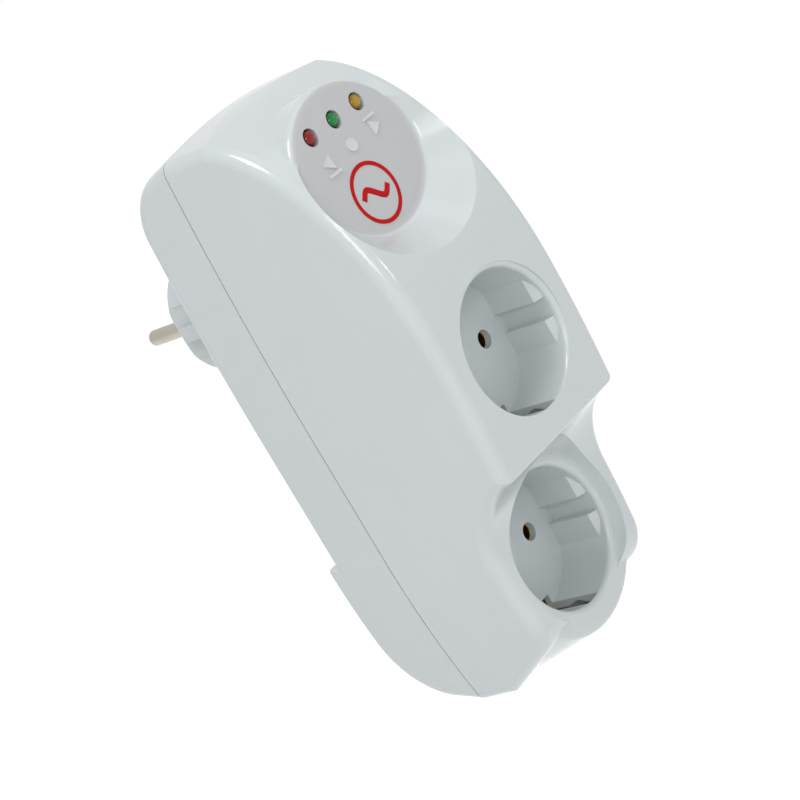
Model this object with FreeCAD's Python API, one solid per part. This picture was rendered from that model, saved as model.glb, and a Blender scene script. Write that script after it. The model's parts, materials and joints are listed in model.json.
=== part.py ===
import FreeCAD, Part
import math
import os

# Plug-in voltage protector with two round earthed sockets on the front.
# Frame: X to the right seen from the front, Z up, Y from the front towards the wall.
# The origin is on the plug's axis, in the plane of the foot's rear face.

V = FreeCAD.Vector
X_AXIS = V(1, 0, 0)
Y_AXIS = V(0, 1, 0)
Z_AXIS = V(0, 0, 1)

os.makedirs("parts", exist_ok=True)

# Places along the case
plug_to_upper = 37.3          # plug axis above the upper socket's axis
socket_pitch = 59.1           # upper to lower socket axis
led_row_height = 37.5         # lamp row above the plug axis
top_end = 51.6                # top end of the case above the plug axis
bottom_end = 133.3            # bottom end of the case below the plug axis

# Depths, measured from the origin's plane
body_depth = 78.0             # to the plane of the upper socket's rim
rear_shell_depth = 24.5       # to the parting line
rear_setback = 3.8            # to the flat rear face; the deeper foot ends in the origin's plane
lower_step = 22.45            # how far the lower rim lies behind the upper one
cheek_step = 19.5             # how far the flat cheeks beside the lower socket lie behind

# Outline seen from the front, at the parting line
half_width = 33.2
top_half_width = 29.6
bottom_half_width = 28.5
top_bulge = 2.5               # how far the curved ends stand out beyond their corners
bottom_bulge = 7.2
front_draft = 3.0             # how much narrower each side is at the front
top_draft = 0.3               # the same at the top end
end_fall = 6.5                # how far both ends lean in from the parting line to the foot's rear face
straight_top = -32.0          # the sides run straight between these two heights
straight_bottom = -75.0

# Side view of the front
crown_height = -25.3          # height at which the front stands furthest out
crown = 0.5
shoulder_depth = 48.0         # the rounded shoulder ends this far behind the rim plane
block_bottom = 65.9           # lower edge of the thick upper block, below the plug axis
block_edge_drop = 1.6
cove_radius = 24.0
flare_top = 115.0             # where the cheeks turn into the sloped bottom end
flare_round = 12.0
side_round = 4.0
step_round = 1.2
top_rear_round = 17.0
bottom_rear_round = 20.0

# Walls and seam
wall = 2.4
seam_gap = 0.35
tongue_height = 2.0
tongue_wall = 1.0
tongue_clearance = 0.2

# Lamp panel and the dish around it
panel_height = 25.1           # centre of the panel above the plug axis
panel_step = 16.2             # how far its centre lies behind the rim plane
panel_tilt = 6.0
panel_half_width = 24.0
panel_half_height = 21.5
panel_round = 2.0
island_border = 1.0           # the island is this much larger than the panel all round
island_depth = 30.0
island_draft = 0.9
dish_height = 26.0
dish_angle = 40.0
dish_foot_round = 3.0
lamp_pitch = 11.2
lamp_diameter = 5.0
lamp_hole_clearance = 0.15
lamp_proud = 0.7              # how far the dome stands out of the panel
lamp_length = 8.6
lamp_flange_diameter = 5.8
lamp_flange_thickness = 1.0
lamp_lead = 0.5
lamp_lead_pitch = 2.54

# Socket wells
well_radius = 20.5
well_depth = 18.7
well_wall = 1.8
well_floor = 2.2
mouth_round = 1.6
pin_pitch = 19.0
socket_hole_diameter = 5.4
guide_flat = 17.8             # the guide blocks' flat faces from the socket's axis
guide_block_height = 10.8
guide_groove = 6.0
guide_top = 1.8
guide_chamfer = 1.8
earth_slot_width = 6.0
earth_slot_inner = 17.5
earth_slot_outer = 24.2
earth_slot_top = 1.2
collar_radius = 28.2
collar_draft = 15.0           # degrees by which its side widens towards the rear
collar_round = 2.0
collar_flat = 23.6
cove_reach = 30.0

# How far cutting shapes reach past the faces that they cut
overshoot = 1.0
far_reach = 10.0              # the same for those that cut across the whole case

# Plug
plug_radius = 18.6
plug_depth = 18.0
plug_edge_round = 2.2
plug_flat = 16.4
plug_notch_height = 17.0
plug_rib_width = 4.6
plug_rib_reach = 18.4
plug_face = 6.0               # thickness behind the plug's end face
plug_pocket_radius = 14.6
pin_diameter = 4.8
pin_length = 19.0
pin_tip_round = 1.7
pin_root_diameter = 5.4       # the part inside the plug's face is thicker
pin_root_proud = 0.2
pin_hole_clearance = 0.05
pin_tail_diameter = 3.2
pin_tail_end = -6.0
pin_collar_diameter = 7.2
pin_collar_thickness = 1.6
retainer_radius = 14.2
retainer_thickness = 2.0
retainer_screw_z = 6.5
retainer_boss_radius = 2.6
retainer_screw_diameter = 2.6
retainer_screw_head = 4.4
retainer_screw_head_height = 1.4
retainer_screw_length = 6.0
earth_seat = 16.9             # floor of the grooves for the plug's earth contacts
earth_groove_width = 6.4
earth_leg_end = 15.0
earth_leg_round = 1.5

# Deeper foot at the lower rear
foot_top = 75.6

# Case screws, their posts in the front shell and columns in the rear shell
screw_diameter = 3.0
screw_head_diameter = 5.6
screw_head_height = 2.0
screw_length = 22.0
screw_seat = -12.0
screw_clearance = 0.2
screw_engagement = 12.0
post_radius = 3.5
column_radius = 4.8
side_post_x = 24.0
side_post_z = 12.0
foot_post_x = 19.0
foot_post_z = -114.5

# Circuit board
board_depth = 36.0            # its front face behind the upper socket's rim
board_thickness = 1.6
board_half_width = 19.5
board_top = 40.0
board_bottom = -12.0
board_corner = 2.0
board_screw_x = 16.5
board_screw_low = -8.5
board_screw_high = 33.0
board_post_radius = 3.0
board_screw_diameter = 2.6
board_screw_head = 4.6
board_screw_head_height = 1.6
board_screw_length = 8.0

# Contact sleeves, their carriers and the metal strips
sleeve_inner = 2.45
sleeve_outer = 3.25
sleeve_slit = 1.0
carrier_half_width = 19.0
carrier_half_height = 7.5
carrier_depth = 15.0
carrier_round = 1.5
carrier_screw_x = 16.0
carrier_boss_radius = 2.6
carrier_boss_length = 10.0
carrier_clearance = 0.2
carrier_screw_diameter = 2.6
carrier_screw_head = 5.0
carrier_screw_head_height = 1.8
carrier_screw_length = 12.0
strip = 0.8                   # sheet thickness of all contact strips
bus_width = 6.0
bus_drop_z = -65.0            # height at which the strips step back behind the lower socket
bus_overlap = 5.5
earth_strip_width = 5.0
earth_leg = 22.7              # earth clips' distance from the socket's axis
earth_bump = 1.3
earth_clip_top = 3.0
strip_bend = 1.6
slot_housing_wall = 1.6

# Relay on the rear of the board
relay_half_width = 14.0
relay_bottom = 4.0
relay_top = 28.0
relay_height = 20.0
relay_base_thickness = 2.0
relay_wall = 1.0
relay_axis_z = 16.0
coil_axis = 10.4              # coil axis above the rear of the board
core_radius = 2.5
pole_radius = 3.4
pole_thickness = 1.0
pole_face_x = 7.1
bobbin_start = -11.0
bobbin_end = 5.6
bobbin_flange = 1.0
bobbin_flange_radius = 6.5
bobbin_tube_radius = 3.4
coil_radius = 5.9
yoke_thickness = 1.4
yoke_half_width = 5.0
yoke_leg = 6.6                # underside of the yoke's long leg above the coil axis
armature_x = 8.0
armature_thickness = 1.2
armature_round = 1.5
armature_end = -3.4           # free end of the armature, from the coil axis
pivot_radius = 0.5            # round bead on the armature in a groove of the yoke's end
pivot_clearance = 0.05
blade_thickness = 0.25
blade_half_width = 2.5
blade_top = 3.5
blade_end = -7.2
contact_height = -6.0         # contacts below the coil axis
contact_radius = 1.4
contact_gap = 1.0
contact_thickness = 0.7
stop_gap = 0.05
post_strip = 0.8
post_half_width = 2.0
leaf_thickness = 0.25
leaf_half_width = 2.0
leaf_gap = 0.15
leaf_start = 1.0
leaf_drop = 3.0
terminal_radius = 0.5
terminal_proud = 1.4
terminal_places = ((-12.0, 7.0), (-12.0, 25.0), (-9.0, 16.0), (6.1, 16.0), (10.8, 16.0))

# Other parts on the board
fuse_z = -4.0
fuse_x = -1.0
fuse_height = 4.2             # fuse axis above the board
fuse_length = 20.0
fuse_glass_radius = 2.5
fuse_cap_radius = 2.9
fuse_cap_length = 5.0
fuse_clip_width = 4.0
fuse_clip_half = 3.4
fuse_clip_height = 5.6
fuse_wall = 0.5
film_box = (-12.0, 5.0, -8.5, -1.5, 11.0)
electrolytic_place = (11.0, 8.0)
electrolytic_radius = 5.0
electrolytic_length = 12.0
sleeve_skin = 0.3
varistor_place = (-8.0, 21.0)
varistor_radius = 5.0
varistor_thickness = 4.0
varistor_lift = 1.2
diode_x = 16.8
diode_places = (11.5, 22.5)
diode_radius = 1.35
diode_length = 5.2
resistor_places = (5.5, 9.5, 13.5)
resistor_z = 24.5
resistor_radius = 1.2
resistor_length = 6.3
axial_lead_radius = 0.3
axial_lead_reach = 1.8
regulator_place = (-1.0, 20.0)
regulator_radius = 2.4
regulator_height = 4.8
regulator_lift = 2.5
chip_place = (-2.0, 8.5)
chip_half_width = 3.2
chip_half_length = 4.8
chip_thickness = 3.3
chip_lift = 0.6
chip_pin_pitch = 2.54
chip_pin_reach = 3.9

# Wires
wire_radius = 1.3
wire_core_radius = 0.7
wire_bend = 3.0
wire_bare = 1.2               # bare length of core at each end
wire_lead_in = -12.0
wire_in_x = 16.5
wire_out_z = -9.0
wire_out_lift = 6.4           # how far the outgoing wires rise behind the board
wire_out_end = -34.0
earth_wire_start = -15.5
earth_wire_inset = 3.35       # where the earth wire lands on the rail, in front of its lower leg
earth_wire_z = -52.0

# Derived places
front_y = -body_depth
seam_y = -rear_shell_depth
rear_y = -rear_setback
rear_wall_y = rear_y - wall
upper_z = -plug_to_upper
lower_z = upper_z - socket_pitch
lower_y = front_y + lower_step
pin_offset = pin_pitch / 2
board_y = front_y + board_depth
board_rear = board_y + board_thickness
upper_floor = front_y + well_depth + well_floor
lower_floor = lower_y + well_depth + well_floor
sockets = ((front_y, upper_z), (lower_y, lower_z))


def save(name, shape):
    """Write one sub-part."""
    shape.exportStep("parts/" + name + ".step")
    print(name, len(shape.Solids), round(shape.Volume, 1), shape.isValid())


def cylinder(radius, length, base, axis=Y_AXIS):
    return Part.makeCylinder(radius, length, base, axis)


def tube(outer, inner, length, base, axis=Y_AXIS):
    return cylinder(outer, length, base, axis).cut(cylinder(inner, length, base, axis))


def block(x0, x1, y0, y1, z0, z1):
    return Part.makeBox(x1 - x0, y1 - y0, z1 - z0, V(x0, y0, z0))


def arc_edge(start, middle, end):
    return Part.Arc(start, middle, end).toShape()


def line_edge(start, end):
    return Part.LineSegment(start, end).toShape()


def join(shapes):
    result = shapes[0]
    for other in shapes[1:]:
        result = result.fuse(other)
    return result.removeSplitter()


def corner_arc(a, corner, b, radius):
    """Replace the corner between two points by a tangent arc; returns its three points."""
    u = (a - corner).normalize()
    w = (b - corner).normalize()
    half_turn = u.getAngle(w) / 2
    reach = radius / math.tan(half_turn)
    bisector = (u + w).normalize()
    centre = corner + bisector * (radius / math.sin(half_turn))
    return corner + u * reach, centre - bisector * radius, corner + w * reach


def tangent_arc(start, end):
    """Arc that leaves start along Z and ends at end; both lie in one plane of constant y."""
    across = start.x - end.x
    along = end.z - start.z
    radius = (across ** 2 + along ** 2) / (2 * across)
    centre_x = start.x - radius
    half_turn = math.asin(abs(along) / abs(radius)) / 2
    middle_x = centre_x + radius * math.cos(half_turn)
    middle_z = start.z + math.copysign(abs(radius) * math.sin(half_turn), along)
    return arc_edge(start, V(middle_x, start.y, middle_z), end)


def front_outline(y, inset, side_draft=0, top_side_draft=0, end_draft=0):
    """Closed barrel-shaped outline in the plane y, shrunk by inset and by a draft on its sides and ends."""
    top_z = top_end - inset - end_draft
    top_side_z = top_z - top_bulge
    bottom_z = -bottom_end + inset + end_draft
    wide = half_width - inset - side_draft
    narrow_top = top_half_width - inset - top_side_draft
    narrow_bottom = bottom_half_width - inset - side_draft
    bottom_side_z = bottom_z + bottom_bulge
    edges = []
    for side in (1, -1):
        waist_top = V(side * wide, y, straight_top)
        waist_bottom = V(side * wide, y, straight_bottom)
        edges.append(line_edge(waist_bottom, waist_top))
        edges.append(tangent_arc(waist_top, V(side * narrow_top, y, top_side_z)))
        edges.append(tangent_arc(waist_bottom, V(side * narrow_bottom, y, bottom_side_z)))
    edges.append(arc_edge(V(narrow_bottom, y, bottom_side_z), V(0, y, bottom_z),
                          V(-narrow_bottom, y, bottom_side_z)))
    edges.append(arc_edge(V(-narrow_top, y, top_side_z), V(0, y, top_z), V(narrow_top, y, top_side_z)))
    return Part.Wire(Part.__sortEdges__(edges))


def side_profile(inset, back_y):
    """Side view of the case as a slab wider than the case, shrunk by inset; back_y is its rear face."""
    x = -half_width - far_reach
    face_y = front_y + inset
    crown_y = front_y - crown + inset
    top_z = top_end - inset
    shoulder_y = front_y + shoulder_depth
    edge_y = face_y + block_edge_drop
    edge_z = -block_bottom + inset
    cheek_y = front_y + cheek_step + inset
    radius = cove_radius - inset
    cove_centre_y = cheek_y - radius
    edge_drop = math.sqrt(radius ** 2 - (edge_y - cove_centre_y) ** 2)
    cove_centre_z = edge_z - edge_drop
    slant = math.atan2(edge_y - cove_centre_y, edge_drop)
    middle_angle = (slant + math.pi / 2) / 2
    flare_inset = inset * 1.1
    corner = V(x, edge_y, edge_z)
    crown_point = V(x, crown_y, crown_height)
    crown_mid = V(x, crown_y + (edge_y - crown_y) * 0.25, (edge_z + crown_height) / 2)
    cove_mid = V(x, cove_centre_y + radius * math.sin(middle_angle),
                 cove_centre_z + radius * math.cos(middle_angle))
    cove_end = V(x, cheek_y, cove_centre_z)
    flare_end = V(x, seam_y, -bottom_end + flare_inset)
    flare_corner = V(x, cheek_y, -flare_top + flare_inset)
    cheek_end, flare_mid, flare_start = corner_arc(cove_end, flare_corner, flare_end, flare_round)
    shoulder = Part.Ellipse(V(x, shoulder_y, top_z), V(x, crown_y, crown_height),
                            V(x, shoulder_y, crown_height))
    shoulder_arc = Part.ArcOfEllipse(shoulder, 0, math.pi / 2).toShape()
    shoulder_end = V(x, shoulder_y, top_z)
    rear_top = V(x, back_y - inset, top_z)
    rear_bottom = V(x, back_y - inset, -bottom_end + flare_inset)
    edges = [arc_edge(corner, crown_mid, crown_point), shoulder_arc]
    edges += [line_edge(shoulder_end, rear_top), line_edge(rear_top, rear_bottom)]
    edges += [line_edge(rear_bottom, flare_end), line_edge(flare_end, flare_start)]
    edges += [arc_edge(flare_start, flare_mid, cheek_end), line_edge(cheek_end, cove_end)]
    edges.append(arc_edge(cove_end, cove_mid, corner))
    face = Part.Face(Part.Wire(Part.__sortEdges__(edges)))
    return face.extrude(V(-2 * x, 0, 0))


def panel_frame(shape):
    """Turn a shape built about the Y axis into the lamp panel's tilted place."""
    shape.rotate(V(0, 0, 0), X_AXIS, -panel_tilt)
    shape.translate(V(0, front_y + panel_step, panel_height))
    return shape


def ellipse_wire(half_x, half_z, y):
    if half_x >= half_z:
        curve = Part.Ellipse(V(half_x, y, 0), V(0, y, half_z), V(0, y, 0))
    else:
        curve = Part.Ellipse(V(0, y, half_z), V(-half_x, y, 0), V(0, y, 0))
    return Part.Wire(curve.toShape())


def island(inset):
    """Raised oval island that carries the lamp panel."""
    half_x = panel_half_width + island_border - inset
    half_z = panel_half_height + island_border - inset
    top = ellipse_wire(half_x, half_z, inset)
    foot = ellipse_wire(half_x + island_draft, half_z + island_draft, island_depth)
    solid = Part.makeLoft([top, foot], True, True)
    if inset == 0:
        solid = solid.makeFillet(panel_round, [e for e in solid.Edges if e.BoundBox.YMax < 0.1])
    return panel_frame(solid)


def dish(inset):
    """What is scooped out of the shoulder in front of the panel."""
    spread = dish_height * math.tan(math.radians(dish_angle))
    floor = ellipse_wire(panel_half_width + inset, panel_half_height + inset, inset)
    mouth = ellipse_wire(panel_half_width + spread + inset, panel_half_height + spread + inset,
                         -dish_height)
    solid = Part.makeLoft([floor, mouth], True, True)
    if inset == 0:
        foot = [e for e in solid.Edges if abs(e.BoundBox.YMax) < 0.1]
        solid = solid.makeFillet(dish_foot_round, foot)
    return panel_frame(solid)


def lower_cove(inset):
    """Round concave recess above and beside the lower socket's rim."""
    deep = V(collar_flat + inset, lower_y + inset, 0)
    high = V(cove_reach + inset, front_y - 5, 0)
    middle = V(collar_flat + inset + (cove_reach - collar_flat) * 0.45,
               lower_y + inset - lower_step * 0.36, 0)
    edges = [line_edge(V(0, deep.y, 0), deep), arc_edge(deep, middle, high)]
    edges += [line_edge(high, V(0, high.y, 0)), line_edge(V(0, high.y, 0), V(0, deep.y, 0))]
    solid = Part.Face(Part.Wire(edges)).revolve(V(0, 0, 0), Y_AXIS, 360)
    solid.translate(V(0, 0, lower_z))
    return solid


def collar(inset):
    """Round collar about the lower socket."""
    base = V(0, lower_y + inset, lower_z)
    depth = seam_y - lower_y - inset
    radius = collar_radius - inset
    solid = Part.makeCone(radius, radius + depth * math.tan(math.radians(collar_draft)), depth, base, Y_AXIS)
    solid = solid.common(drafted_front(inset))
    if inset == 0:
        rim = [e for e in solid.Edges if e.BoundBox.YMax < lower_y + 0.1]
        solid = solid.makeFillet(collar_round, rim)
    return solid


def drafted_front(inset):
    """The outline as a slab in front of the parting line, narrower towards the front."""
    front = front_outline(front_y - 2, inset, front_draft, top_draft)
    return Part.makeLoft([front, front_outline(seam_y, inset)], True, True)


def drafted_rear(inset):
    """The outline as a slab behind the parting line, its ends leaning in towards the rear."""
    return Part.makeLoft([front_outline(seam_y, inset), front_outline(0, inset, end_draft=end_fall)],
                         True, True)


def borders_flank(edge):
    """True for an edge between a flank and the front, an end or the rear."""
    box = edge.BoundBox
    one_side = box.XMin * box.XMax > 0
    near_flank = min(abs(box.XMin), abs(box.XMax)) > bottom_half_width - front_draft - 0.5
    along = max(box.YLength, box.ZLength)
    in_seam = box.YMin > seam_y - 0.1 and box.YMax < seam_y + 0.1
    return one_side and near_flank and along > 1 and box.XLength < along and not in_seam


def is_rear_end_edge(edge, back_y):
    """True for the long edges between the rear face and the top or bottom end."""
    box = edge.BoundBox
    return box.YMin > back_y - 0.1 and box.XLength > half_width


def envelope(inset, back_y=rear_y):
    """Outer form of the case, shrunk by inset, from the front to the rear face."""
    form = side_profile(inset, back_y).common(drafted_front(inset).fuse(drafted_rear(inset)))
    return form.removeSplitter().Solids[0]


def round_ends(form, inset, back_y):
    """Round the rear edges of both ends of an envelope."""
    ends = [e for e in form.Edges if is_rear_end_edge(e, back_y - inset)]
    form = form.makeFillet(top_rear_round - inset, [e for e in ends if e.BoundBox.ZMax > 0])
    ends = [e for e in form.Edges if is_rear_end_edge(e, back_y - inset)]
    return form.makeFillet(bottom_rear_round - inset, [e for e in ends if e.BoundBox.ZMax < lower_z])


def rounded_envelope(back_y):
    """The outer form with its ends, flanks and step edge rounded."""
    form = round_ends(envelope(0, back_y), 0, back_y)
    form = form.makeFillet(side_round, [e for e in form.Edges if borders_flank(e)])
    step = [e for e in form.Edges if abs(e.BoundBox.ZMax + block_bottom) < 0.1
            and e.BoundBox.ZLength < 0.1 and e.BoundBox.XLength > half_width]
    return form.makeFillet(step_round, step)


def foot_room(inset):
    """The deeper form of the foot, shrunk by inset."""
    return round_ends(envelope(inset, 0), inset, 0)


def with_foot(form, foot, inset):
    """A form whose lower rear, below the foot's step, is that of the foot."""
    reach = half_width + far_reach
    below = block(-reach, reach, seam_y, overshoot, -bottom_end - far_reach, -foot_top - inset)
    return form.cut(below).fuse(foot.common(below))


def outer_form():
    """Whole outside of the closed case without plug, wells and foot pad."""
    form = rounded_envelope(rear_y).cut(dish(0))
    form = form.fuse(island(0).common(drafted_front(0)))
    form = form.fuse(collar(0)).cut(lower_cove(0))
    return form.removeSplitter().Solids[0]


def hollow_form():
    """Inside of the closed case."""
    room = round_ends(envelope(wall), wall, rear_y).cut(dish(wall))
    room = room.fuse(island(wall).common(drafted_front(wall)))
    room = room.fuse(collar(wall)).cut(lower_cove(wall))
    return room.Solids[0]


def half_space(y0, y1):
    """Slab across the whole case between two depths."""
    reach = half_width + far_reach
    return block(-reach, reach, y0, y1, -bottom_end - far_reach, top_end + far_reach)


def case_post_places():
    places = []
    for side in (1, -1):
        places.append((side * side_post_x, side_post_z))
        places.append((side * foot_post_x, foot_post_z))
    return places


def board_screw_places():
    return [(side * board_screw_x, z) for side in (1, -1) for z in (board_screw_low, board_screw_high)]


def lamp_places():
    return [("lamp_red", -lamp_pitch), ("lamp_green", 0), ("lamp_amber", lamp_pitch)]


def panel_depth(z):
    """Depth of the tilted lamp panel at height z."""
    return front_y + panel_step + (z - panel_height) * math.tan(math.radians(panel_tilt))


def well_mouth(face_y, centre_z):
    """Cutter for a round well with its rounded mouth."""
    rim = well_radius + mouth_round
    floor_y = face_y + well_depth
    bend = mouth_round * (1 - math.cos(math.pi / 4))
    above_y = face_y - far_reach
    points = [V(0, above_y, 0), V(rim, above_y, 0), V(rim, face_y, 0)]
    low = V(well_radius, face_y + mouth_round, 0)
    edges = [line_edge(points[0], points[1]), line_edge(points[1], points[2])]
    edges.append(arc_edge(points[2], V(well_radius + bend, face_y + bend, 0), low))
    edges.append(line_edge(low, V(well_radius, floor_y, 0)))
    edges.append(line_edge(V(well_radius, floor_y, 0), V(0, floor_y, 0)))
    edges.append(line_edge(V(0, floor_y, 0), points[0]))
    cutter = Part.Face(Part.Wire(edges)).revolve(V(0, 0, 0), Y_AXIS, 360)
    cutter.translate(V(0, 0, centre_z))
    return cutter


def guide_block(face_y, centre_z, side):
    """Flat-faced guide with a groove, on one side of a well."""
    low, high = sorted((side * guide_flat, side * (well_radius + well_wall / 2)))
    top_y = face_y + guide_top
    guide = block(low, high, top_y, face_y + well_depth + well_floor / 2,
                  centre_z - guide_block_height, centre_z + guide_block_height)
    inner = [e for e in guide.Edges if abs(e.CenterOfMass.y - top_y) < 0.01
             and abs(e.CenterOfMass.x - side * guide_flat) < 0.01]
    guide = guide.makeChamfer(guide_chamfer, inner)
    groove = block(low - overshoot, high + overshoot, top_y - overshoot, face_y + well_depth,
                   centre_z - guide_groove / 2, centre_z + guide_groove / 2)
    limit = cylinder(well_radius + well_wall / 2, well_depth + well_floor, V(0, face_y, centre_z))
    return guide.cut(groove).common(limit)


def earth_slots(face_y, centre_z):
    """Openings for the earth clips, above and below the socket's axis."""
    half = earth_slot_width / 2
    slots = []
    for side in (1, -1):
        outer = centre_z + side * earth_slot_outer
        low, high = sorted((outer, centre_z + side * (well_radius - 1)))
        slots.append(block(-half, half, face_y + earth_slot_top, face_y + well_depth + 0.1, low, high))
        low, high = sorted((outer, centre_z + side * earth_slot_inner))
        slots.append(block(-half, half, face_y + well_depth - 0.1,
                           face_y + well_depth + well_floor + 1, low, high))
    return slots


def slot_housings(face_y, centre_z):
    """Walls around the earth slots behind the well."""
    half = earth_slot_width / 2 + slot_housing_wall
    housings = []
    for side in (1, -1):
        low, high = sorted((centre_z + side * (earth_slot_outer + slot_housing_wall),
                            centre_z + side * earth_slot_inner))
        housings.append(block(-half, half, front_y, face_y + well_depth + well_floor, low, high))
    return housings


def make_front_shell(outer, hollow):
    solid = outer.common(half_space(front_y - far_reach, seam_y))
    room = hollow.common(half_space(front_y - far_reach, seam_y + overshoot))
    for face_y, centre_z in sockets:
        floor_y = face_y + well_depth + well_floor
        room = room.cut(cylinder(well_radius + well_wall, floor_y - front_y + overshoot,
                                 V(0, front_y - overshoot, centre_z)))
        for housing in slot_housings(face_y, centre_z):
            room = room.cut(housing)
        for side in (1, -1):
            boss = V(side * carrier_screw_x, front_y, centre_z)
            room = room.cut(cylinder(carrier_boss_radius, floor_y + carrier_boss_length - front_y, boss))
    for x, z in case_post_places():
        room = room.cut(cylinder(post_radius, body_depth, V(x, front_y, z)))
    for x, z in board_screw_places():
        room = room.cut(cylinder(board_post_radius, board_y - front_y, V(x, front_y, z)))
    solid = solid.cut(room)
    for face_y, centre_z in sockets:
        solid = solid.cut(well_mouth(face_y, centre_z))
        for side in (1, -1):
            solid = solid.fuse(guide_block(face_y, centre_z, side))
        for slot in earth_slots(face_y, centre_z):
            solid = solid.cut(slot)
        floor_y = face_y + well_depth + well_floor
        for side in (1, -1):
            hole = V(side * pin_offset, face_y + well_depth - overshoot, centre_z)
            solid = solid.cut(cylinder(socket_hole_diameter / 2, well_floor + 2 * overshoot, hole))
            pilot = V(side * carrier_screw_x, floor_y + carrier_boss_length + 0.1, centre_z)
            solid = solid.cut(cylinder(carrier_screw_diameter / 2, carrier_boss_length - 1, pilot, -Y_AXIS))
    for x, z in case_post_places():
        solid = solid.cut(cylinder(screw_diameter / 2, screw_engagement, V(x, seam_y, z), -Y_AXIS))
    for x, z in board_screw_places():
        solid = solid.cut(cylinder(board_screw_diameter / 2, board_screw_length + 1, V(x, board_y, z), -Y_AXIS))
    for name, x in lamp_places():
        hole = V(x, front_y, led_row_height)
        solid = solid.cut(cylinder(lamp_diameter / 2 + lamp_hole_clearance, body_depth / 2, hole))
    return max(solid.removeSplitter().Solids, key=lambda s: s.Volume)


def shell_ring(outer_inset, inner_inset, y0, y1):
    """Ring between two insets of the case's outside, cut to a slab of depth."""
    return envelope(outer_inset).cut(envelope(inner_inset)).common(half_space(y0, y1))


def make_tongue():
    """Ring on the rear shell that reaches into the front shell."""
    outside = wall + tongue_clearance
    inside = outside + tongue_wall
    foot_y = seam_y + seam_gap
    ring = shell_ring(outside, inside, seam_y - tongue_height, foot_y + tongue_height)
    foot = shell_ring(wall - tongue_clearance, inside, foot_y, foot_y + tongue_height)
    return ring.fuse(foot)


def make_plug_body():
    """Round plug on the rear, with side notches, ribs and grooves for the earth contacts."""
    body = cylinder(plug_radius, plug_depth - rear_wall_y, V(0, rear_wall_y, 0))
    end = [e for e in body.Edges if e.BoundBox.YMin > plug_depth - 0.1]
    body = body.makeFillet(plug_edge_round, end)
    half = plug_notch_height / 2
    rib = plug_rib_width / 2
    outside = plug_radius + overshoot
    end_y = plug_depth + overshoot
    for side in (1, -1):
        low, high = sorted((side * plug_flat, side * outside))
        notch = block(low, high, rear_y, end_y, -half, half)
        low, high = sorted((side * plug_flat, side * plug_rib_reach))
        notch = notch.cut(block(low, high, rear_y, plug_depth - plug_edge_round, -rib, rib))
        body = body.cut(notch)
        low, high = sorted((side * earth_seat, side * outside))
        body = body.cut(block(-earth_groove_width / 2, earth_groove_width / 2, rear_y, end_y, low, high))
        body = body.cut(earth_leg_slot(side))
    body = body.cut(cylinder(plug_pocket_radius, plug_depth - plug_face - rear_wall_y, V(0, rear_wall_y, 0)))
    inner_y = plug_depth - plug_face
    for side in (1, -1):
        boss = V(0, inner_y - pin_collar_thickness, side * retainer_screw_z)
        body = body.fuse(cylinder(retainer_boss_radius, pin_collar_thickness, boss))
        body = body.cut(cylinder(retainer_screw_diameter / 2,
                                 retainer_screw_length - retainer_thickness + 0.3, boss))
        body = body.cut(cylinder(pin_root_diameter / 2 + pin_hole_clearance, end_y,
                                 V(side * pin_offset, 0, 0)))
    return body


def earth_leg_slot(side):
    """Opening in the rear wall for one leg of the earth strap."""
    low, high = sorted((side * earth_seat, side * (earth_seat + strip)))
    return block(-earth_strip_width / 2, earth_strip_width / 2, rear_wall_y - overshoot,
                 rear_y + overshoot, low, high)


def make_rear_shell(outer, hollow):
    rear = half_space(seam_y + seam_gap, plug_depth)
    solid = with_foot(outer, rounded_envelope(0), 0).common(rear)
    solid = solid.cut(with_foot(hollow, foot_room(wall), wall))
    for x, z in case_post_places():
        column = cylinder(column_radius, rear_shell_depth, V(x, seam_y, z))
        limit = envelope(wall / 2) if z > -foot_top else foot_room(wall / 2)
        solid = solid.fuse(column.common(limit))
    solid = solid.fuse(make_tongue())
    solid = solid.cut(cylinder(plug_pocket_radius, 2 * wall, V(0, rear_y - 1.5 * wall, 0)))
    for side in (1, -1):
        solid = solid.cut(earth_leg_slot(side))
    solid = solid.fuse(make_plug_body())
    for x, z in case_post_places():
        solid = solid.cut(cylinder(screw_diameter / 2 + screw_clearance, rear_shell_depth + far_reach,
                                   V(x, seam_y - tongue_height, z)))
        recess = V(x, screw_seat, z)
        solid = solid.cut(cylinder(screw_head_diameter / 2 + screw_clearance, rear_shell_depth, recess))
    return max(solid.Solids, key=lambda s: s.Volume)


def make_screw(diameter, length, head_diameter, head_height, seat):
    """Cross-slotted pan screw; its shaft runs from seat along -Y, its head along +Y."""
    shaft = cylinder(diameter / 2, length, seat, -Y_AXIS)
    tip = [e for e in shaft.Edges if e.BoundBox.YMax < seat.y - length + 0.01]
    shaft = shaft.makeChamfer(diameter * 0.25, tip)
    head = cylinder(head_diameter / 2, head_height, seat)
    top = [e for e in head.Edges if e.BoundBox.YMin > seat.y + head_height - 0.01]
    head = head.makeFillet(head_height * 0.45, top)
    slot = head_height * 0.5
    arm = head_diameter * 0.32
    half = head_diameter * 0.07
    high = seat.y + head_height
    screw = shaft.fuse(head)
    screw = screw.cut(block(seat.x - arm, seat.x + arm, high - slot, high + 1, seat.z - half, seat.z + half))
    screw = screw.cut(block(seat.x - half, seat.x + half, high - slot, high + 1, seat.z - arm, seat.z + arm))
    return screw.removeSplitter()


def make_case_screws():
    return [make_screw(screw_diameter, screw_length, screw_head_diameter, screw_head_height,
                       V(x, screw_seat, z)) for x, z in case_post_places()]


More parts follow.
